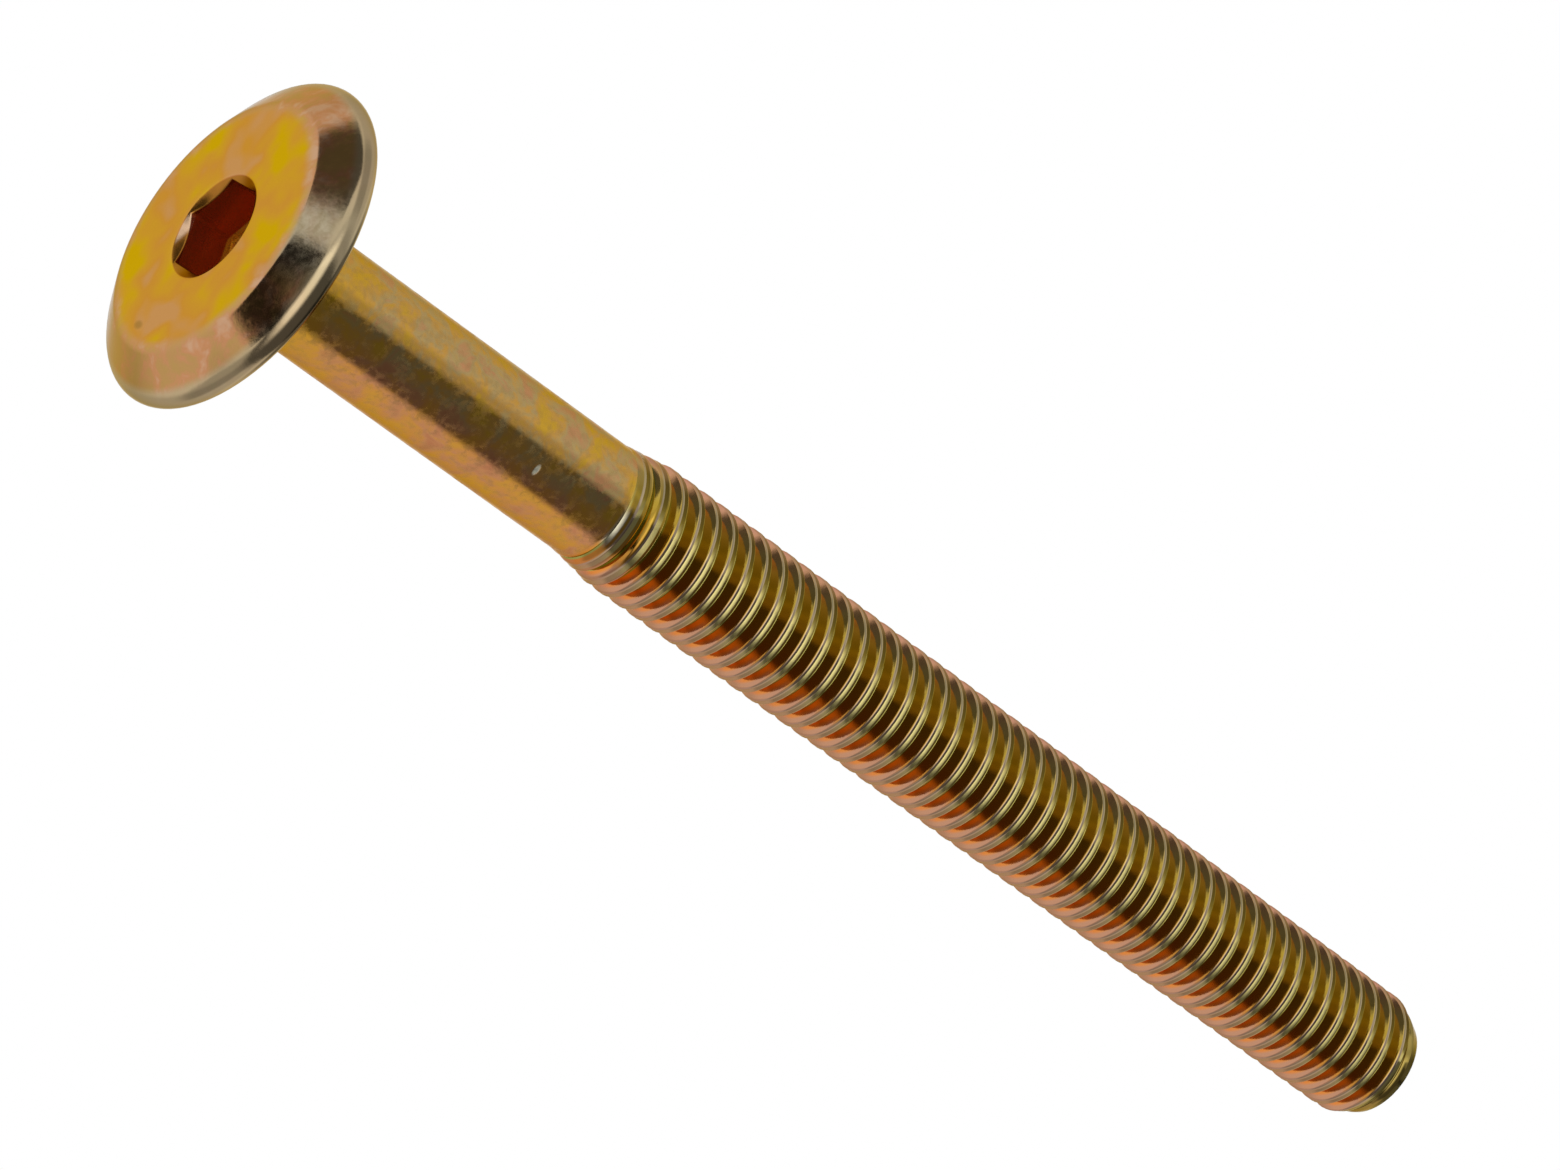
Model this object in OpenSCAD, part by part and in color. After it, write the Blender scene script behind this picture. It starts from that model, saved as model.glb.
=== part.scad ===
// Flat head connector screw with a hex socket, of nominal size M6 x 70.
// It stands on its head: the origin is the centre of the flat face, and +Z runs along the axis to the tip.
// The thread is kept as the plain cylinder of its outside diameter, with its run-in and the chamfer of its tip.

/* [Head] */
// Diameter of the head at its widest
head_d = 14.9; // [13.5:0.1:20]
// Diameter at which the flat face would meet the bevel
face_d = 11.4; // [9:0.1:12.5]
// Thickness of the head, from the flat face to the underside
head_t = 2.1; // [1.8:0.1:4]
// Radius of the rounded rim
rim_r = 0.6; // [0.3:0.05:0.8]
// Radius of the rounded edge between the flat face and the bevel
face_edge_r = 0.8; // [0.2:0.1:0.9]
// Radius of the fillet between the underside and the shank
neck_r = 0.3; // [0.1:0.05:0.8]

/* [Hex socket] */
// Key size, across the flats
key_af = 4; // [3:0.5:4]
// Depth of the socket at the corners of its flats
flats_depth = 2.3; // [1.5:0.1:3]
// Diameter of the lead-in at the flat face
lead_d = 4.9; // [4.7:0.1:6]
// Included angle of the lead-in
lead_angle = 120; // [90:5:150]
// Included angle of the socket's conical bottom
bottom_angle = 140; // [110:5:160]
// Diameter of the blunt end of the socket's bottom
bottom_d = 0.8; // [0.4:0.1:2]
// Turn of the socket about the axis, from a corner on +X
socket_turn = 30; // [0:5:60]

/* [Shank and thread] */
// Length from the underside of the head to the tip
length = 69.3; // [55:0.1:100]
// Diameter of the plain shank
shank_d = 5.2; // [5:0.1:5.8]
// Outside diameter of the thread
thread_d = 5.9; // [5.85:0.05:6.4]
// Pitch of the thread, which sets its depth and the length of its run-in
pitch = 1.0; // [0.5:0.05:1.25]
// Length of the thread, with its run-in and the chamfer
thread_l = 49.5; // [20:0.5:52]
// Run-in of the thread, in turns
run_in_turns = 1.8; // [1:0.1:3]
// Included angle of the chamfered tip
tip_angle = 50; // [40:5:120]

/* [Hidden] */
$fn = 96;
// Length by which a cutting solid stands out of the face that it cuts
over = 0.5;
// Depth by which the bevel's line dips into the circles at its ends, so that they cut each other cleanly
dip = 0.004;
// Depth of a metric thread, as a share of its pitch
thread_depth_share = 0.5413;

// The bevel's line starts at the edge of the face, at the angle at which it touches the rim's circle
face_corner = [face_d / 2, 0];
rim_centre = [head_d / 2 - rim_r, head_t - rim_r];
to_rim = rim_centre - face_corner;
bevel_angle = atan2(to_rim.y, to_rim.x) - asin((rim_r - dip) / norm(to_rim));
bevel_dir = [cos(bevel_angle), sin(bevel_angle)];
bevel_end = face_corner + (to_rim * bevel_dir) * bevel_dir;
rim_end = [rim_centre.x, head_t];

// The circle of the face's edge touches the face, and its line to the bevel is square to the bevel
edge_cut = face_edge_r * tan(bevel_angle / 2) - dip / sin(bevel_angle);
face_end = face_corner - [edge_cut, 0];
edge_centre = face_end + [0, face_edge_r];
bevel_start = face_corner + ((edge_centre - face_corner) * bevel_dir) * bevel_dir;

tip_z = head_t + length;
tip_r = thread_d / 2 - thread_depth_share * pitch;
chamfer_z = tip_z - (thread_d / 2 - tip_r) / tan(tip_angle / 2);
thread_z = tip_z - thread_l;
full_thread_z = thread_z + run_in_turns * pitch;

hex_corner_r = key_af / 2 / cos(30);

// The hollow corner between the underside of the head and the shank
module neck_fillet() {
    difference() {
        square(neck_r);
        translate([neck_r, neck_r]) circle(r = neck_r);
    }
}

// Half of the section through the axis, with x as the radius and y as the height.
// The two circles make the edge of the face and the rim round.
module half_section() {
    polygon([
        [0, 0], face_end, bevel_start, bevel_end, rim_end,
        [shank_d / 2, head_t], [shank_d / 2, thread_z],
        [thread_d / 2, full_thread_z], [thread_d / 2, chamfer_z],
        [tip_r, tip_z], [0, tip_z]
    ]);
    translate(edge_centre) circle(r = face_edge_r);
    translate(rim_centre) circle(r = rim_r);
    translate([shank_d / 2, head_t]) neck_fillet();
}

// A cone that has radius r at height z and narrows upwards to a blunt end
module cone(r, z, included_angle) {
    slope = tan(included_angle / 2);
    translate([0, 0, -over])
        cylinder(r1 = r + (z + over) * slope, r2 = bottom_d / 2, h = over + z + (r - bottom_d / 2) / slope);
}

// The socket: six flats that end at its conical bottom, and the lead-in that makes their mouth round
module hex_socket() {
    intersection() {
        rotate([0, 0, socket_turn]) translate([0, 0, -over])
            cylinder(r = hex_corner_r, h = over + head_t + length / 2, $fn = 6);
        cone(hex_corner_r, flats_depth, bottom_angle);
    }
    cone(lead_d / 2, 0, lead_angle);
}

module connector_screw() {
    color("goldenrod") difference() {
        rotate_extrude() half_section();
        hex_socket();
    }
}

connector_screw();
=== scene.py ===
# %% [markdown]
# # A connector screw in yellow chromated zinc
# A long furniture screw: a wide flat head with a bevel, a hex socket, a plain shank and a rolled thread.
# The imported CAD model is the frame. It fixes where the screw stands and how large it is, and this script
# gives it the looks: one new mesh with the true helical thread, and a plated metal finish.
# We load the frame first, and keep its box.

# %% Load the imported model
import math

import bmesh
import bpy
from mathutils import Matrix, Vector


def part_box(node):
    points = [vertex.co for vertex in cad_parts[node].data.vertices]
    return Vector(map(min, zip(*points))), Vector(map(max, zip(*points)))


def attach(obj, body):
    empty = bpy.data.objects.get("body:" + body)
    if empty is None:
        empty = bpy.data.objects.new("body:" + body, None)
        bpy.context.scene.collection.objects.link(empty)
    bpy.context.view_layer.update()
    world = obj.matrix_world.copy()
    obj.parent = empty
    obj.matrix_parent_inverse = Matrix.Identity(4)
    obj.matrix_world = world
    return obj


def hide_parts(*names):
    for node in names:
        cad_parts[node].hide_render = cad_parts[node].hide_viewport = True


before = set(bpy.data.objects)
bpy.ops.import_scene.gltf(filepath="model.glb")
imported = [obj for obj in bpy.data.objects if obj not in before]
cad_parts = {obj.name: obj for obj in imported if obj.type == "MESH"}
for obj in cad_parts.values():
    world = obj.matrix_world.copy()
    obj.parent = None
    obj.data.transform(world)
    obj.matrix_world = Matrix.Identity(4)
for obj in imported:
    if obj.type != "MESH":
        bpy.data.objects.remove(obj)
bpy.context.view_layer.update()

node_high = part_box("connector_screw")[1]

# %% [markdown]
# ## Sizes
# A turned and rolled part has a short list of sizes, and everything else follows from them. The head's
# width and the whole length are read from the frame. The rest repeats the CAD model's driving sizes, in
# millimetres, because those are the numbers that a maker would say aloud.

# %% Driving sizes
MM = 0.001
head_r = node_high.x / MM
tip_z = node_high.z / MM
face_corner_r = 5.7
head_t = 2.1
rim_r = 0.6
face_edge_r = 0.8
neck_r = 0.3
key_af = 4.0
socket_depth = 2.3
lead_in_r = 2.45
lead_in_slope = math.tan(math.radians(60))
bottom_slope = math.tan(math.radians(70))
bottom_r = 0.4
shank_r = 2.6
thread_r = 2.95
pitch = 1.0
thread_z = tip_z - 49.5
thread_depth_share = 0.5413
tip_r = thread_r - thread_depth_share * pitch
tip_slope = math.tan(math.radians(25))
print("head radius", round(head_r, 3), "tip at", round(tip_z, 3), "thread from", round(thread_z, 3))

# %% [markdown]
# ## Helpers for modelling
# A turned part is a row of rings. By hand you would add a circle, extrude it along the axis and scale it,
# and do that again for the next step of the outline. The helpers below are those two moves, together with
# a way to select vertices by their place, because an operator acts on whatever is selected.

# %% Modelling helpers
RING_STEPS = 96


def deselect_all():
    """Leaves nothing selected, so that an operator can't reach an older piece."""
    bpy.ops.object.select_all(action="DESELECT")


def edit(piece):
    """Enters edit mode on one piece, in vertex selection."""
    deselect_all()
    bpy.context.view_layer.objects.active = piece
    piece.select_set(True)
    bpy.ops.object.mode_set(mode="EDIT")
    bpy.ops.mesh.select_mode(type="VERT")


def leave_edit():
    """Goes back to object mode."""
    bpy.ops.object.mode_set(mode="OBJECT")


def radius_of(place):
    """Distance of a place from the screw's axis, in millimetres."""
    return math.hypot(place.x, place.y) / MM


def select_where(piece, test):
    """Selects, in edit mode, the vertices whose radius and height in millimetres pass the test."""
    mesh = bmesh.from_edit_mesh(piece.data)
    for vertex in mesh.verts:
        vertex.select = test(radius_of(vertex.co), vertex.co.z / MM)
    mesh.select_flush_mode()
    bmesh.update_edit_mesh(piece.data)


def extrude_ring(start, end):
    """Extrudes the selected ring from one (radius, height) to the next, in millimetres."""
    rise = (end[1] - start[1]) * MM
    bpy.ops.mesh.extrude_region_move(TRANSFORM_OT_translate={"value": (0, 0, rise)})
    scale = end[0] / start[0]
    bpy.ops.transform.resize(value=(scale, scale, 1), center_override=(0, 0, 0))


def arc(centre, radius, start, end, steps):
    """Points of an arc. The angle is measured from straight down, 90 pointing away from the axis."""
    angles = [math.radians(start + (end - start) * i / steps) for i in range(steps + 1)]
    return [(centre[0] + radius * math.sin(a), centre[1] - radius * math.cos(a)) for a in angles]


# %% [markdown]
# ## The outline of the head and shank
# The flat face runs into the bevel over a rounded edge, and the bevel into a rounded rim. Both are true
# arcs that touch their neighbours, so the highlight flows round them. Where a flat or straight stretch
# meets an arc, one more ring lies close to the corner: it keeps the smooth shading off the flat.

# %% Outline of the head
rim_centre = (head_r - rim_r, head_t - rim_r)
to_rim = (rim_centre[0] - face_corner_r, rim_centre[1])
bevel_angle = math.degrees(math.atan2(to_rim[1], to_rim[0]) - math.asin(rim_r / math.hypot(*to_rim)))
edge_cut = face_edge_r * math.tan(math.radians(bevel_angle / 2))
edge_centre = (face_corner_r - edge_cut, face_edge_r)
support = 0.06

outline = [(lead_in_r, 0.0), (lead_in_r + 3 * support, 0.0), (edge_centre[0] - support, 0.0)]
outline += arc(edge_centre, face_edge_r, 0, bevel_angle, 5)
outline += arc(rim_centre, rim_r, bevel_angle, 180, 14)
outline += [(rim_centre[0] - support, head_t), (shank_r + neck_r + support, head_t)]
outline += arc((shank_r + neck_r, head_t + neck_r), neck_r, 0, -90, 5)
join_z = thread_z - 1.6
outline += [(shank_r, head_t + neck_r + support), (shank_r, join_z - 0.4)]
print("bevel at", round(bevel_angle, 1), "degrees,", len(outline), "rings")

# %% Turn the outline into a mesh
deselect_all()
bpy.ops.mesh.primitive_circle_add(vertices=RING_STEPS, radius=lead_in_r * MM, location=(0, 0, 0))
screw = bpy.context.object
screw.name = "screw_with_thread"
screw.data.name = "screw_with_thread"
edit(screw)
bpy.ops.mesh.select_all(action="SELECT")
for start, end in zip(outline, outline[1:]):
    extrude_ring(start, end)
leave_edit()
print("head and shank", len(screw.data.vertices), "vertices")

# %% [markdown]
# ## The hex socket
# The real socket is punched: a blunt cone for a bottom, six flats, and a lead-in that makes the mouth
# round. The lead-in is a cone and the flats are a hexagon, so the line where they meet rises and falls six
# times. We extrude the mouth's ring inwards and give each vertex the hexagon's radius on its own bearing,
# and from that the depth at which the cone has the same radius.

# %% Sink the socket
def hexagon_radius(place):
    """Radius of the hexagon on the bearing of a place. Its corners lie at 30, 90 and 150 degrees."""
    bearing = math.degrees(math.atan2(place.y, place.x))
    from_flat = (bearing + 30) % 60 - 30
    return key_af / 2 / math.cos(math.radians(from_flat))


def place_ring(piece, radius, height):
    """Puts each selected vertex at the radius and height that two rules give for its bearing."""
    mesh = bmesh.from_edit_mesh(piece.data)
    for vertex in [v for v in mesh.verts if v.select]:
        new_radius = radius(vertex.co)
        flat_place = Vector((vertex.co.x, vertex.co.y, 0)).normalized() * new_radius * MM
        vertex.co = flat_place + Vector((0, 0, height(new_radius) * MM))
    bmesh.update_edit_mesh(piece.data)


corner_r = key_af / 2 / math.cos(math.radians(30))
edit(screw)
select_where(screw, lambda r, z: abs(r - lead_in_r) < 0.01 and abs(z) < 0.01)
bpy.ops.mesh.extrude_region_move(TRANSFORM_OT_translate={"value": (0, 0, 0)})
place_ring(screw, hexagon_radius, lambda r: (lead_in_r - r) / lead_in_slope)
bpy.ops.mesh.extrude_region_move(TRANSFORM_OT_translate={"value": (0, 0, 0)})
place_ring(screw, hexagon_radius, lambda r: socket_depth + (corner_r - r) / bottom_slope)
bpy.ops.mesh.extrude_region_move(TRANSFORM_OT_translate={"value": (0, 0, 0)})
bottom_z = socket_depth + (corner_r - bottom_r) / bottom_slope
place_ring(screw, lambda place: bottom_r, lambda r: bottom_z)
bpy.ops.mesh.edge_face_add()
leave_edit()
print("socket to", round(bottom_z, 2), "mm deep")

# %% [markdown]
# ## Soft edges in the socket
# No punched or plated edge is perfectly sharp, and a small bevel is what catches the bright glints round
# the mouth. The bevel operator works on the selected edges: the round mouth and the six scallops below it.

# %% Bevel the mouth of the socket
mouth_bevel = 0.045


def select_rings_between(piece, low_r, high_r, low_z, high_z):
    """Selects the edges that run round the axis in a band of radius and height."""
    bpy.ops.mesh.select_mode(type="EDGE")
    bpy.ops.mesh.select_all(action="DESELECT")
    mesh = bmesh.from_edit_mesh(piece.data)
    found = []
    for ring_edge in mesh.edges:
        ends = [v.co for v in ring_edge.verts]
        inside = all(low_r <= radius_of(p) <= high_r and low_z <= p.z / MM <= high_z for p in ends)
        bearings = [math.atan2(p.y, p.x) for p in ends]
        if inside and abs(math.sin(bearings[0] - bearings[1])) > 0.01:
            found.append(ring_edge)
    for ring_edge in found:
        ring_edge.select_set(True)
    bmesh.update_edit_mesh(piece.data)
    return len(found)


edit(screw)
mouth_edges = select_rings_between(screw, 1.95, lead_in_r + 0.01, -0.01, 0.4)
bpy.ops.mesh.bevel(offset=mouth_bevel * MM, offset_type="OFFSET", segments=2, affect="EDGES")
bpy.ops.mesh.select_mode(type="VERT")
leave_edit()
print("bevelled", mouth_edges, "edges of the mouth and the lead-in")

# %% [markdown]
# ## One turn of the thread
# A rolled metric thread has 60 degree flanks and a round root. Its crest isn't flat: rolling pushes the
# metal up into two lips, and a fine seam stays between them. Seen from the head, that is why each turn
# shows a thin bright line, a dark seam, and a wider bright line on the slope of the second lip. Part of
# that wider line is a painted highlight in the second lip's colour. The profile is drawn point by point as
# by
# hand: one vertex, extruded along the outline from one seam to the next.

# %% Profile from seam to seam
first_lip_r = 0.12
first_lip = (thread_r - first_lip_r, -0.105)
second_lip_r = 0.055
second_lip = (thread_r - second_lip_r, 0.125)
seam = (2.855, -0.04)
root_arc_r = 0.08
flank_slope = math.tan(math.radians(60))


def round_point(centre, radius, tilt):
    """A point of a rounded lip as (radius, height). The tilt in degrees leans towards the head."""
    a = math.radians(tilt)
    return (centre[0] + radius * math.cos(a), centre[1] - radius * math.sin(a))


second_end = round_point(second_lip, second_lip_r, -60)
next_start = round_point((first_lip[0], first_lip[1] + pitch), first_lip_r, 60)
flank_gap = next_start[1] - second_end[1] - (second_end[0] - next_start[0]) / flank_slope
root_z = next_start[1] - flank_gap / 2
root_corner = next_start[0] - flank_slope * flank_gap / 2
root_r = root_corner + root_arc_r


def root_point(angle):
    """A point of the root's arc; 0 degrees is its lowest place."""
    a = math.radians(angle)
    return (root_corner + root_arc_r * (2 - math.cos(a)), root_z + root_arc_r * math.sin(a))


def way_point(start, end, share):
    """A point on the straight way between two points."""
    return tuple(a + (b - a) * share for a, b in zip(start, end))


profile = [seam]
profile += [round_point(second_lip, second_lip_r, tilt) for tilt in (28, 0, -30, -60)]
profile += [way_point(second_end, root_point(-60), share) for share in (0.06, 0.94)]
profile += [root_point(angle) for angle in (-60, -30, 0, 30, 60)]
profile += [way_point(root_point(60), next_start, share) for share in (0.06, 0.94)]
next_lip = (first_lip[0], first_lip[1] + pitch)
profile += [round_point(next_lip, first_lip_r, tilt) for tilt in (60, 40, 20, 0, -25)]
profile += [(seam[0], seam[1] + pitch)]
print("root radius", round(root_r, 3), "at", round(root_z, 3), "profile points", len(profile))

# %% [markdown]
# ## Winding the profile up
# The Screw modifier turns the profile round the axis and lifts it by one pitch a turn, so the last point of
# one turn lands on the first point of the next. That is the true helix, right-handed as on the real screw.
# The photograph fixes where a crest passes the +X side, so the profile starts there.

# %% Draw and wind the thread
THREAD_STEPS = 60
crest_phase = 0.47
first_crest = math.floor(join_z - 1.5) + crest_phase
turns = math.ceil(tip_z + 1.0 - first_crest)

deselect_all()
bpy.ops.mesh.primitive_plane_add(size=MM, location=(0, 0, 0))
thread = bpy.context.object
thread.name = "thread_turns"
edit(thread)
bpy.ops.mesh.select_all(action="SELECT")
bpy.ops.mesh.merge(type="CENTER")
start_r, start_z = profile[0]
bpy.ops.transform.translate(value=(start_r * MM, 0, (first_crest + start_z) * MM))
for (r0, z0), (r1, z1) in zip(profile, profile[1:]):
    step = ((r1 - r0) * MM, 0, (z1 - z0) * MM)
    bpy.ops.mesh.extrude_region_move(TRANSFORM_OT_translate={"value": step})
leave_edit()

winding = thread.modifiers.new("winding", "SCREW")
winding.axis = "Z"
winding.angle = 2 * math.pi
winding.screw_offset = pitch * MM
winding.iterations = turns
winding.steps = THREAD_STEPS
winding.render_steps = THREAD_STEPS
winding.use_merge_vertices = False
deselect_all()
thread.select_set(True)
bpy.context.view_layer.objects.active = thread
bpy.ops.object.modifier_apply(modifier=winding.name)
print("wound", turns, "turns:", len(thread.data.vertices), "vertices")

# %% [markdown]
# ## Cutting the thread to length
# The wound strip starts and ends on a slant. Two straight cuts trim it, one across the plain shank, where
# it will be joined, and one at the tip. Both cuts stay open for now.

# %% Trim both ends
def trim(piece, height, side):
    """Cuts a piece across the axis at a height in millimetres, and drops the side that isn't needed."""
    edit(piece)
    bpy.ops.mesh.select_all(action="SELECT")
    bpy.ops.mesh.bisect(
        plane_co=(0, 0, height * MM),
        plane_no=(0, 0, side),
        clear_outer=True,
        threshold=1e-8,
    )
    leave_edit()


edit(thread)
bpy.ops.mesh.select_all(action="SELECT")
bpy.ops.mesh.remove_doubles(threshold=1e-7)
leave_edit()
trim(thread, join_z, -1)
trim(thread, tip_z, 1)
print("thread from", join_z, "to", round(tip_z, 2))

# %% [markdown]
# ## Run-in and tip
# The dies roll the thread in gradually. The groove starts narrow and shallow, and it pushes the metal up
# into low lips that stand far apart. Further on it gets deeper and wider, and the lips rise and close up.
# So the run-in has three rules: how far the lips have risen, how deep the groove is, and how far each point
# is still moved away from the middle of its crest. At the tip a chamfer cuts the last crests down.

# %% Shape the run-in and the tip
cone_rise = 0.24


def smooth_step(value, low, high):
    """0 below low, 1 above high, and a soft rise in between."""
    t = min(1.0, max(0.0, (value - low) / (high - low)))
    return t * t * (3 - 2 * t)


def crest_top(z):
    """Radius that the lips reach: first a short cone, then the last rise to the full crest."""
    cone = cone_rise * min(1.0, max(0.0, (z - thread_z + 0.5) / 1.75))
    last_rise = thread_r - shank_r - cone_rise
    return shank_r + cone + last_rise * smooth_step(z, thread_z + 1.2, thread_z + 1.95)


def groove_floor(z):
    """Radius of the groove's floor."""
    return shank_r - (shank_r - root_r) * smooth_step(z, thread_z - 0.6, thread_z + 2.0)


def apart(place):
    """Distance in millimetres by which the run-in moves a point away from the middle of its crest."""
    z = place.z / MM
    turned = math.atan2(place.y, place.x) / (2 * math.pi)
    from_crest = (z / pitch - crest_phase - turned + 0.5) % 1.0 - 0.5
    spread = math.copysign(0.5 * (1 - (1 - 2 * abs(from_crest)) ** 2), from_crest) - from_crest
    begun = smooth_step(z, thread_z - 1.4, thread_z - 0.6)
    ended = smooth_step(z, thread_z + 0.3, thread_z + 2.8)
    return spread * begun * (1 - ended) * pitch


def chamfer(z):
    """Radius of the tip's chamfer at a height."""
    return tip_r + (tip_z - z) * tip_slope


for vertex in thread.data.vertices:
    r = radius_of(vertex.co)
    z = vertex.co.z / MM + apart(vertex.co)
    share = (r - root_r) / (thread_r - root_r)
    new_r = min(groove_floor(z) + (crest_top(z) - groove_floor(z)) * share, chamfer(z))
    vertex.co = (vertex.co.x * new_r / r, vertex.co.y * new_r / r, z * MM)
thread.data.update()

# %% Close the tip
def select_open_edges(piece, low_z):
    """Selects, in edit mode, the open edges that lie above a height in millimetres."""
    bpy.ops.mesh.select_mode(type="EDGE")
    bpy.ops.mesh.select_all(action="DESELECT")
    mesh = bmesh.from_edit_mesh(piece.data)
    for open_edge in [e for e in mesh.edges if e.is_boundary]:
        if min(v.co.z / MM for v in open_edge.verts) > low_z:
            open_edge.select_set(True)
    bmesh.update_edit_mesh(piece.data)


edit(thread)
select_open_edges(thread, tip_z - 0.01)
extrude_ring((1, 0), (0.97, 0))
extrude_ring((1, 0), (0.5, 0))
bpy.ops.mesh.edge_face_add()
leave_edit()
print("thread mesh", len(thread.data.polygons), "faces")

# %% [markdown]
# ## One watertight screw
# The two meshes are joined, the rings on both sides of the cut are bridged, and the result is checked: no
# open edge may be left, and every face has to point outwards.

# %% Join the thread to the shank
deselect_all()
thread.select_set(True)
screw.select_set(True)
bpy.context.view_layer.objects.active = screw
bpy.ops.object.join()
edit(screw)
select_open_edges(screw, 0)
bpy.ops.mesh.bridge_edge_loops()
bpy.ops.mesh.select_all(action="SELECT")
bpy.ops.mesh.remove_doubles(threshold=1e-7)
bpy.ops.mesh.normals_make_consistent(inside=False)
mesh = bmesh.from_edit_mesh(screw.data)
open_edges = sum(not e.is_manifold for e in mesh.edges)
volume = mesh.calc_volume(signed=True) * 1e9
leave_edit()
bpy.ops.object.shade_smooth_by_angle(angle=math.radians(50))
print("open edges", open_edges, "volume", round(volume, 1), "mm3", len(screw.data.polygons), "faces")

# %% [markdown]
# ## Shader arithmetic
# Patterns read best as sums and products. This small class wraps one output socket, and each + - * / on it
# adds the Math node for you. Every other node comes from its add method, which takes the node's type, its
# settings and the values or links of its sockets.

# %% A socket that can be calculated with
class Wire:
    """One output socket of a node tree, on which arithmetic adds Math nodes."""

    def __init__(self, tree, socket=None):
        self.tree = tree
        self.socket = socket

    def add(self, kind, settings=None, inputs=None, output=0):
        """Adds a node, makes its settings and then its sockets, and returns one of its outputs."""
        node = self.tree.nodes.new(kind)
        for name, value in (settings or {}).items():
            if name == "stops":
                fill_ramp(node.color_ramp, value)
            else:
                setattr(node, name, value)
        for name, value in (inputs or {}).items():
            if isinstance(value, Wire):
                self.tree.links.new(value.socket, node.inputs[name])
            else:
                node.inputs[name].default_value = value
        return Wire(self.tree, node.outputs[output] if node.outputs else None)

    def math(self, operation, *values):
        """Adds one Math node."""
        return self.add("ShaderNodeMath", {"operation": operation}, dict(enumerate(values)))

    def __add__(self, other):
        return self.math("ADD", self, other)

    def __radd__(self, other):
        return self.math("ADD", other, self)

    def __sub__(self, other):
        return self.math("SUBTRACT", self, other)

    def __rsub__(self, other):
        return self.math("SUBTRACT", other, self)

    def __mul__(self, other):
        return self.math("MULTIPLY", self, other)

    def __rmul__(self, other):
        return self.math("MULTIPLY", other, self)

    def __truediv__(self, other):
        return self.math("DIVIDE", self, other)

    def fade(self, low, high):
        """A soft step: 0 at low and 1 at high, which may be the smaller of the two."""
        limits = {"Value": self, "From Min": low, "From Max": high}
        return self.add("ShaderNodeMapRange", {"interpolation_type": "SMOOTHSTEP"}, limits)

    def mix(self, factor, first, second):
        """Blends two colours."""
        blend = {"Factor": factor, 6: first, 7: second}
        return self.add("ShaderNodeMix", {"data_type": "RGBA"}, blend, output=2)


def fill_ramp(ramp, stops):
    """Gives a colour ramp its stops, each a position and a colour."""
    while len(ramp.elements) < len(stops):
        ramp.elements.new(1.0)
    for element, (position, colour) in zip(ramp.elements, stops):
        element.position = position
        element.color = colour


def rgb(red, green, blue):
    """A colour written as on a screen, 0 to 255, as the linear values that a shader takes."""
    def linear(v):
        v = v / 255
        return v / 12.92 if v <= 0.04045 else ((v + 0.055) / 1.055) ** 2.4
    return (linear(red), linear(green), linear(blue), 1.0)


# %% [markdown]
# ## The finish: yellow chromate on zinc
# Yellow chromate is a clear film on bright zinc, and its thickness drifts by less than a wavelength of
# light. That is why the colour drifts between gold, orange, pink and olive in soft patches a millimetre or
# two across, and turns to silver on worn edges. On the face and the bevel a noise picks the tint from a row
# of colours. The face is the most golden, the bevel is pinker, the rim paler and the socket red-brown.
# Some of it is painted light: a silver patch on the front of the bevel is a painted highlight, and the
# lead-in has painted shade on its -Y half and a painted highlight on its far facet.

# %% Material and noise
plating = bpy.data.materials.new("yellow_chromate")
plating.use_nodes = True
tree = plating.node_tree
tree.nodes.clear()
start = Wire(tree)
place = start.add("ShaderNodeTexCoord", output=3)


def noise(scale_mm, detail, roughness=0.5, distortion=0.0):
    """A noise whose blobs are about scale_mm millimetres across."""
    inputs = {
        "Vector": place,
        "Scale": 1 / (scale_mm * MM),
        "Detail": detail,
        "Roughness": roughness,
        "Distortion": distortion,
    }
    return start.add("ShaderNodeTexNoise", {"noise_dimensions": "3D"}, inputs)


def tints(position, *stops):
    """A row of colours, each given as its position and its red, green and blue on a screen."""
    colours = [(where, rgb(*colour)) for where, colour in stops]
    return start.add("ShaderNodeValToRGB", {"stops": colours}, {"Fac": position})


# %% Where on the screw a point lies
side_x = start.add("ShaderNodeSeparateXYZ", inputs={"Vector": place}, output=0) / MM
side_y = start.add("ShaderNodeSeparateXYZ", inputs={"Vector": place}, output=1) / MM
height = start.add("ShaderNodeSeparateXYZ", inputs={"Vector": place}, output=2) / MM
radius = start.math("SQRT", side_x * side_x + side_y * side_y)
turn = start.math("ARCTAN2", side_x, 0 - side_y) / (2 * math.pi) + 0.5
from_crest = start.math("FRACT", height / pitch - turn + 1.25 - crest_phase) - 0.5

wide = noise(2.8, 2.0, 0.5, 0.2)
medium = noise(1.3, 3.0, 0.6, 0.4)
mottle = noise(0.4, 3.0, 0.62, 0.2)

on_shank = height.fade(2.05, 2.15)
in_thread = height.fade(thread_z - 0.4, thread_z - 0.1)
in_socket = radius.fade(2.47, 2.40) * height.fade(0.015, 0.06) * height.fade(3.3, 3.1)
in_lead_in = in_socket * height.fade(0.34, 0.28)
# Painted highlight: the lead-in's far facet, on the +Y side, is painted pale.
painted_facet_highlight = side_y.fade(1.85, 2.05) * side_x.fade(-0.1, 0.2)

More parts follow.
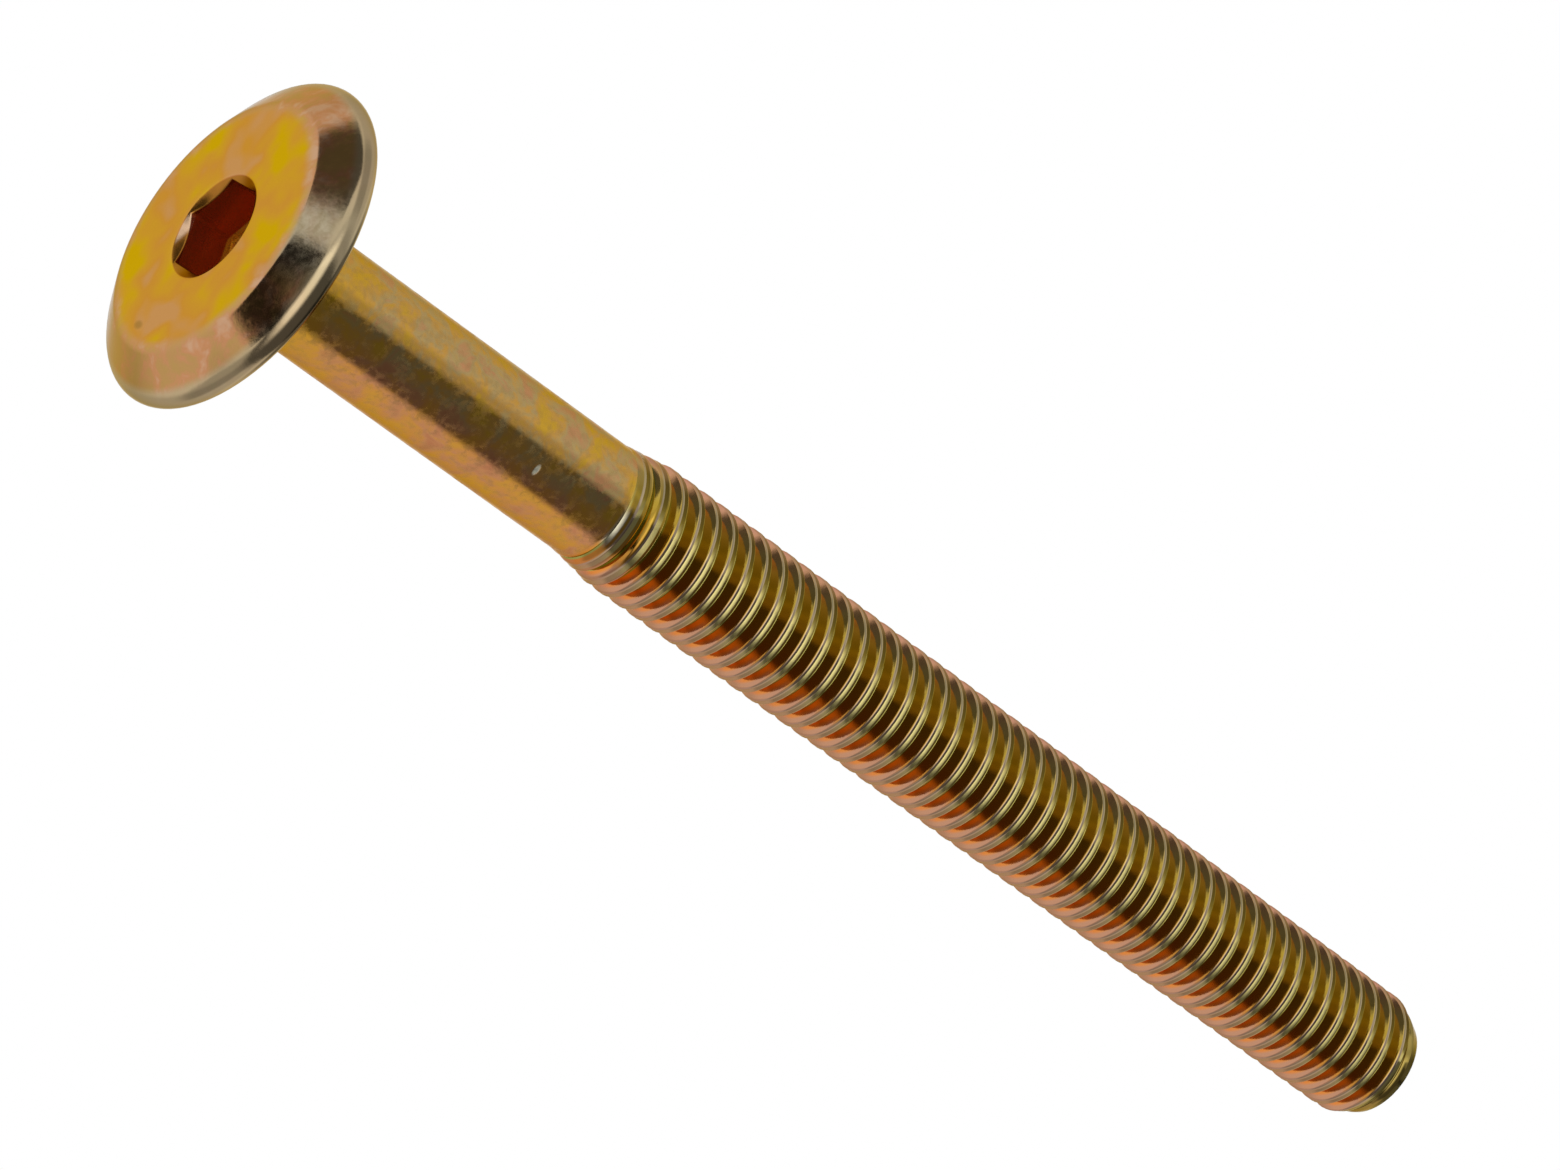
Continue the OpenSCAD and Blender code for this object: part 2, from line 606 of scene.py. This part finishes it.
# %% Tints of the head
face_colour = tints(
    wide,
    (0.36, (216, 175, 32)),
    (0.45, (216, 162, 56)),
    (0.54, (214, 152, 64)),
    (0.64, (212, 156, 98)),
)
bevel_colour = tints(
    medium,
    (0.36, (192, 152, 92)),
    (0.46, (196, 150, 96)),
    (0.54, (206, 146, 102)),
    (0.64, (212, 166, 130)),
)
face_edge = radius + 0.9 * (medium - 0.5)
colour = start.mix(face_edge.fade(5.1, 5.9), face_colour, bevel_colour)
edge_line = radius.fade(5.25, 5.55) * radius.fade(5.95, 5.65)
colour = start.mix(edge_line * 0.12, colour, rgb(206, 184, 146))
# Painted highlight: a silver patch on the bevel and rim at the front, a little towards -X.
painted_silver_highlight = turn.fade(0.39, 0.44) * turn.fade(0.52, 0.48) * radius.fade(5.6, 5.9)
silver = start.mix(mottle.fade(0.25, 0.75), rgb(156, 144, 116), rgb(192, 182, 156))
colour = start.mix(painted_silver_highlight * 0.85, colour, silver)
colour = start.mix(radius.fade(6.9, 7.25) * 0.85, colour, rgb(194, 175, 138))
# Painted shade: the lead-in is darker on its -Y half and paler towards +Y.
lead_in_with_painted_light = start.mix(side_y.fade(-0.4, 0.8), rgb(128, 62, 28), rgb(176, 116, 46))
lead_in_with_painted_light = start.mix(painted_facet_highlight, lead_in_with_painted_light, rgb(244, 204, 168))
socket_colour = start.mix(in_lead_in, rgb(176, 66, 26), lead_in_with_painted_light)
colour = start.mix(in_socket * 0.95, colour, socket_colour)

# %% [markdown]
# ## One side is greener than the other
# Round the shank and the thread the tint goes from olive on the -X side to orange on the +X side, and
# through pink between them. That is a row of colours again, and this time the turn round the axis picks
# the place in it. On the thread some of it is painted light: the pink where the flanks and crests turn
# away at -X and +X is a painted sheen, a pale stretch on each second lip at the front is a painted
# highlight with painted shade in dark olive beside it towards -X, and a pale patch on the first ridge at
# the front is a painted highlight.

# %% Tints of the shank and the thread
greener = tints(
    medium,
    (0.36, (230, 180, 62)),
    (0.47, (226, 172, 88)),
    (0.57, (206, 176, 116)),
    (0.68, (220, 160, 110)),
)
redder = tints(
    medium,
    (0.36, (238, 172, 72)),
    (0.48, (236, 164, 86)),
    (0.58, (228, 158, 106)),
    (0.70, (218, 144, 100)),
)
shank_colour = start.mix(side_x.fade(0.1, 1.2), greener, redder)
shank_colour = start.mix(height.fade(8, 3) * 0.7, shank_colour, rgb(230, 176, 34))
shank_colour = start.mix(mottle.fade(0.42, 0.70) * 0.25, shank_colour, rgb(206, 172, 112))

drifting_turn = turn + 0.05 * (medium - 0.5)
# Flank tint by the turn round the axis; the pink at -X and +X is a painted sheen.
flank_tint_and_painted_sheen = tints(
    drifting_turn,
    (0.00, (206, 158, 110)),
    (0.25, (222, 160, 138)),
    (0.31, (208, 156, 108)),
    (0.36, (214, 182, 104)),
    (0.42, (190, 160, 60)),
    (0.50, (196, 154, 62)),
    (0.57, (200, 140, 60)),
    (0.62, (236, 154, 66)),
    (0.70, (234, 142, 72)),
    (0.76, (216, 150, 128)),
    (1.00, (206, 158, 110)),
)
# Painted sheen: pink on the crests and upper flanks of the +X side.
painted_pink_sheen = turn.fade(0.585, 0.625) * turn.fade(0.98, 0.86) * radius.fade(2.66, 2.80)
flank_tint_and_painted_sheen = start.mix(painted_pink_sheen, flank_tint_and_painted_sheen, rgb(204, 150, 118))
# First lip tint; the pink towards -X and +X is a painted sheen.
first_lip_tint_and_painted_sheen = tints(
    drifting_turn,
    (0.00, (206, 158, 120)),
    (0.26, (212, 158, 138)),
    (0.36, (196, 178, 136)),
    (0.50, (198, 172, 148)),
    (0.62, (198, 166, 132)),
    (0.72, (208, 154, 134)),
    (1.00, (206, 158, 120)),
)
# Painted highlight and shade: the second lip is pale cream at the front and dark olive beside it towards
# -X.
lip_painted_highlight_and_shade = tints(
    turn,
    (0.00, (206, 158, 110)),
    (0.26, (196, 150, 116)),
    (0.36, (128, 104, 44)),
    (0.43, (146, 124, 50)),
    (0.48, (228, 212, 138)),
    (0.57, (228, 212, 138)),
    (0.63, (214, 176, 128)),
    (0.68, (206, 160, 122)),
    (1.00, (206, 158, 110)),
)
crest_tint_with_painted_light = start.mix(from_crest.fade(-0.06, -0.03), first_lip_tint_and_painted_sheen, lip_painted_highlight_and_shade)
on_crest = from_crest.fade(-0.20, -0.16) * from_crest.fade(0.15, 0.12)
in_root = start.math("ABSOLUTE", from_crest).fade(0.41, 0.45)
thread_colour = start.mix(in_root, flank_tint_and_painted_sheen, rgb(190, 178, 96))
thread_colour = start.mix(on_crest, thread_colour, crest_tint_with_painted_light)
# Painted highlight: a near-white patch on the first ridge of the run-in, at the front.
painted_run_in_highlight = height.fade(thread_z - 0.45, thread_z - 0.3) * height.fade(thread_z + 0.3, thread_z + 0.15)
painted_run_in_highlight = painted_run_in_highlight * start.math("ABSOLUTE", from_crest).fade(0.28, 0.34)
painted_run_in_highlight = painted_run_in_highlight * turn.fade(0.46, 0.50) * turn.fade(0.60, 0.56)
thread_colour = start.mix(painted_run_in_highlight * 0.85, thread_colour, rgb(228, 222, 196))
on_chamfer = height.fade(tip_z - 1.15, tip_z - 0.95)
on_end = height.fade(tip_z - 0.03, tip_z - 0.01)
thread_colour = start.mix(on_chamfer * (0.8 + 0.2 * on_end), thread_colour, rgb(160, 142, 78))
shank_colour = start.mix(in_thread, shank_colour, thread_colour)
colour = start.mix(on_shank, colour, shank_colour)

# %% [markdown]
# ## Gloss and relief
# The plating is bright, with duller patches half a millimetre across where the zinc is coarse. They show
# best where the metal reflects something dark. A small nick from handling catches the light on the shank,
# and a faint stain lies on the face.

# %% Gloss and relief
duller = mottle.fade(0.40, 0.66) * (1 - in_thread * 0.7)
plain_shank = on_shank * (1 - in_thread)
grain = noise(0.16, 3.0, 0.6)
dimples = noise(0.7, 2.0, 0.5)
nick_along = (height - 17.1) / 0.15
nick_across = (side_x - 0.487) / 0.32
nick = (nick_along * nick_along + nick_across * nick_across).fade(1.0, 0.2) * (0 - side_y).fade(0, 1)
bumps = grain * 0.3 + dimples * 0.7 - nick * 8.0
roughness = 0.08 + 0.06 * wide + duller * (0.06 + 0.19 * plain_shank) + 0.1 * in_socket + 0.4 * nick
metallic = 1 - 0.2 * in_socket * (1 - in_lead_in)
colour = start.mix(nick, colour, rgb(238, 236, 216))
stain_x = (side_x - 4.9) / 0.24
stain_y = (side_y - 0.5) / 0.42
stain = (stain_x * stain_x + stain_y * stain_y).fade(1.0, 0.0) * height.fade(0.1, 0.05)
colour = start.mix(stain * 0.55, colour, rgb(150, 116, 52))
relief = start.add("ShaderNodeBump", inputs={"Strength": 0.3, "Distance": 0.02 * MM, "Height": bumps})

# %% Assemble the metal
shader = start.add(
    "ShaderNodeBsdfPrincipled",
    inputs={
        "Base Color": colour,
        "Metallic": metallic,
        "Roughness": roughness,
        "Specular Tint": rgb(226, 208, 168),
        "Normal": relief,
    },
)
start.add("ShaderNodeOutputMaterial", inputs={"Surface": shader})
screw.data.materials.clear()
screw.data.materials.append(plating)
print("material nodes", len(tree.nodes))

# %% Put the screw in the frame
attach(screw, "root")
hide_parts("connector_screw")
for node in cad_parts.values():
    node.data.materials.clear()
    node.data.materials.append(plating)

# %% [markdown]
# ## Studio
# A polished part shows its surroundings more than its own colour. The world is a white studio with a few
# dark flags and one soft light, each a window in bearing and elevation as seen from the screw. Bearings
# are counted from the side that faces the photographer. To the camera the world is plain white.

# %% World with flags and a soft light
front_bearing = math.radians(-87.2)
world = bpy.data.worlds.new("studio")
bpy.context.scene.world = world
world.use_nodes = True
sky = world.node_tree
sky.nodes.clear()
out = Wire(sky)
direction = out.add("ShaderNodeTexCoord", output=0)


def along(axis):
    """The share of the direction that points along an axis."""
    settings = {"operation": "DOT_PRODUCT"}
    return out.add("ShaderNodeVectorMath", settings, {0: direction, 1: axis}, output=1)


ahead = along((math.cos(front_bearing), math.sin(front_bearing), 0))
aside = along((-math.sin(front_bearing), math.cos(front_bearing), 0))
upward = out.add("ShaderNodeSeparateXYZ", inputs={"Vector": direction}, output=2)
bearing = out.math("ARCTAN2", aside, ahead) * math.degrees(1)
elevation = out.math("ARCSINE", upward) * math.degrees(1)


def window(bearing_mid, bearing_half, elevation_mid, elevation_half, softness):
    """1 inside a window of directions and 0 outside it, with soft edges. All in degrees."""
    across = out.math("ABSOLUTE", bearing - bearing_mid)
    updown = out.math("ABSOLUTE", elevation - elevation_mid)
    wide = across.fade(bearing_half + softness, bearing_half - softness)
    tall = updown.fade(elevation_half + softness, elevation_half - softness)
    return wide * tall


def disc(disc_bearing, disc_elevation, size, softness):
    """1 within size degrees of one direction, and 0 beyond it, with a soft edge."""
    b = front_bearing + math.radians(disc_bearing)
    e = math.radians(disc_elevation)
    centre = (math.cos(e) * math.cos(b), math.cos(e) * math.sin(b), math.sin(e))
    away = out.math("ARCCOSINE", out.math("MINIMUM", along(centre), 1.0)) * math.degrees(1)
    return away.fade(size + softness, size - softness)


front_flag = window(16, 42, 15, 90, 8)
front_grey = window(-38, 13, 15, 90, 12)
top_flag = disc(0, 90, 28, 10)
low_flag = disc(31.5, -81.2, 20, 3)
left_flag = window(-112, 26, -44, 18, 5)
left_grey = window(-80, 26, 0, 24, 8)
right_grey = window(80, 26, -18, 36, 8)
far_grey = out.math("MAXIMUM", window(-103, 48, 15, 35, 10), window(106, 48, 15, 35, 10))
front_light = window(-3, 36, -44, 26, 16)

studio = 0.85
studio = studio * (1 - 0.87 * front_flag) * (1 - 0.5 * front_grey)
studio = studio * (1 - 0.88 * left_flag) * (1 - 0.35 * left_grey)
studio = studio * (1 - 0.8 * top_flag) * (1 - 0.97 * low_flag)
studio = studio * (1 - 0.42 * right_grey) * (1 - 0.28 * far_grey)
studio = studio + 1.2 * front_light
is_camera = out.add("ShaderNodeLightPath", output=0)
level = studio * (1 - is_camera) + is_camera
background = out.add("ShaderNodeBackground", inputs={"Color": (1, 1, 1, 1), "Strength": level})
out.add("ShaderNodeOutputWorld", inputs={"Surface": background})
print("world nodes", len(sky.nodes))

# %% [markdown]
# ## Floor
# The screw stands on its head, and the photograph looks at that head, so its camera is below the floor. The
# floor is one-sided: it shows only from above, where it takes the screw's shadow, and no ray from the
# screw meets it, so the flat face still reflects the studio.

# %% One-sided floor
deselect_all()
bpy.ops.mesh.primitive_circle_add(vertices=64, radius=2.0, fill_type="NGON", location=(0, 0, -0.02 * MM))
floor = bpy.context.object
floor.name = "floor"
floor.visible_diffuse = False
floor.visible_glossy = False
floor.visible_transmission = False
floor.visible_shadow = False
paper = bpy.data.materials.new("floor_paper")
paper.use_nodes = True
paper.node_tree.nodes.clear()
leaf = Wire(paper.node_tree)
matt = leaf.add("ShaderNodeBsdfDiffuse", inputs={"Color": (0.9, 0.9, 0.9, 1)})
glow = leaf.add("ShaderNodeEmission", inputs={"Color": (1, 1, 1, 1), "Strength": 0.36})
lit = leaf.add("ShaderNodeAddShader", inputs={0: matt, 1: glow})
clear = leaf.add("ShaderNodeBsdfTransparent")
from_below = leaf.add("ShaderNodeNewGeometry", output=6)
sheet = leaf.add("ShaderNodeMixShader", inputs={0: from_below, 1: lit, 2: clear})
leaf.add("ShaderNodeOutputMaterial", inputs={"Surface": sheet})
floor.data.materials.append(paper)

# %% [markdown]
# ## Camera
# The photograph is a close view from the side of the head, turned so that the screw runs down to the right.
# The camera is given as a photographer would: where it aims, from how far, on which bearing and
# elevation, and how far it is rolled.

# %% Camera
aim = Vector((-1.67, -0.09, 31.43)) * MM
distance = 347.0 * MM
camera_bearing = math.radians(-86.88)
camera_elevation = math.radians(-32.44)
camera_roll = math.radians(125.98)
back = Vector((
    math.cos(camera_elevation) * math.cos(camera_bearing),
    math.cos(camera_elevation) * math.sin(camera_bearing),
    math.sin(camera_elevation),
))
lens = bpy.data.cameras.new("camera")
lens.lens = 192.3
lens.sensor_width = 36
lens.clip_start = 0.01
camera = bpy.data.objects.new("camera", lens)
bpy.context.scene.collection.objects.link(camera)
upright = (-back).to_track_quat("-Z", "Y").to_matrix().to_4x4()
rolled = upright @ Matrix.Rotation(camera_roll, 4, "Z")
camera.matrix_world = Matrix.Translation(aim + distance * back) @ rolled
bpy.context.scene.camera = camera
bpy.context.scene.view_settings.view_transform = "Standard"
print("camera at", [round(v / MM, 1) for v in camera.location])
